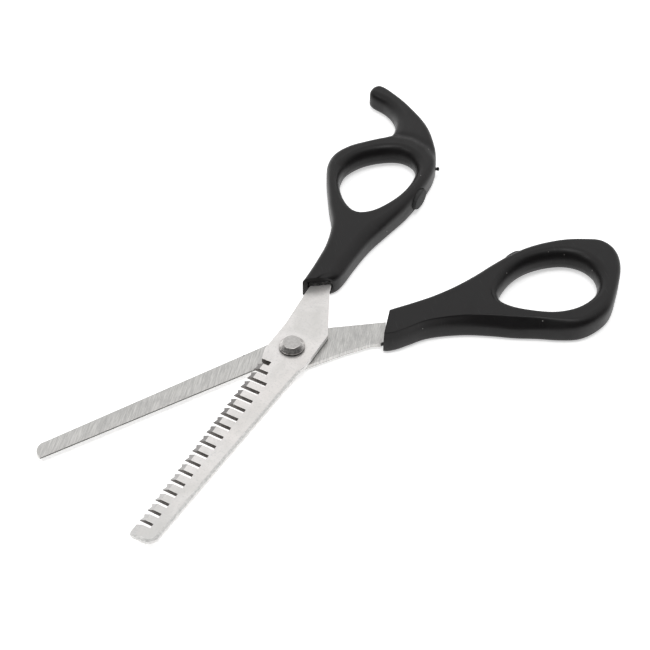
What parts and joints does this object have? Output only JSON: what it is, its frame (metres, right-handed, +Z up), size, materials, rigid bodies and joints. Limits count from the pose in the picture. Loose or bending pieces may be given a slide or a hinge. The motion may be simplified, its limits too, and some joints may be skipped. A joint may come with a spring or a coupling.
{
  "type": "thinning shears",
  "caption": "Pivoted hair-thinning shears with a toothed blade, a plain blade, moulded looped handles with a finger rest, and rubber stops.",
  "frame": {"origin": "on the pivot axis, at the plane that the shears rest on, which is the rivet tail's flat underside", "axes": "+Z up out of the table along the pivot, +Y from the pivot towards the handles midway between them, +X towards the thumb handle's side"},
  "size_m": [0.1223, 0.1842, 0.0076],
  "materials": {
    "polished_steel": "bright satin stainless steel with faint mottling",
    "ground_steel": "stainless steel with fine grinding lines across the blade",
    "rivet_steel": "matt mottled steel with a polished cone",
    "washer_steel": "dark oxidised steel",
    "black_plastic": "satin charcoal-black moulded plastic with small handling marks",
    "thumb_black_plastic": "satin charcoal-black moulded plastic",
    "bumper_rubber": "matt dark grey rubber with a rough face",
    "black_resin": "glossy uneven black adhesive"
  },
  "bodies": {
    "cutting_side": {"cutting_blade": "ground_steel", "pivot_rivet": "rivet_steel", "rivet_washer": "washer_steel", "thumb_handle": "thumb_black_plastic", "thumb_bumper": "bumper_rubber", "thumb_tang_resin": "black_resin"},
    "thinning_side": {"thinning_blade": "polished_steel", "finger_handle": "black_plastic", "finger_bumper": "bumper_rubber", "finger_tang_resin": "black_resin"}
  },
  "joints": [
    {"name": "blade_pivot", "type": "hinge", "parent": "cutting_side", "child": "thinning_side", "pos_m": [0, 0, 0], "axis": [0, 0, 1], "range_deg": [-28.5, 60]}
  ]
}
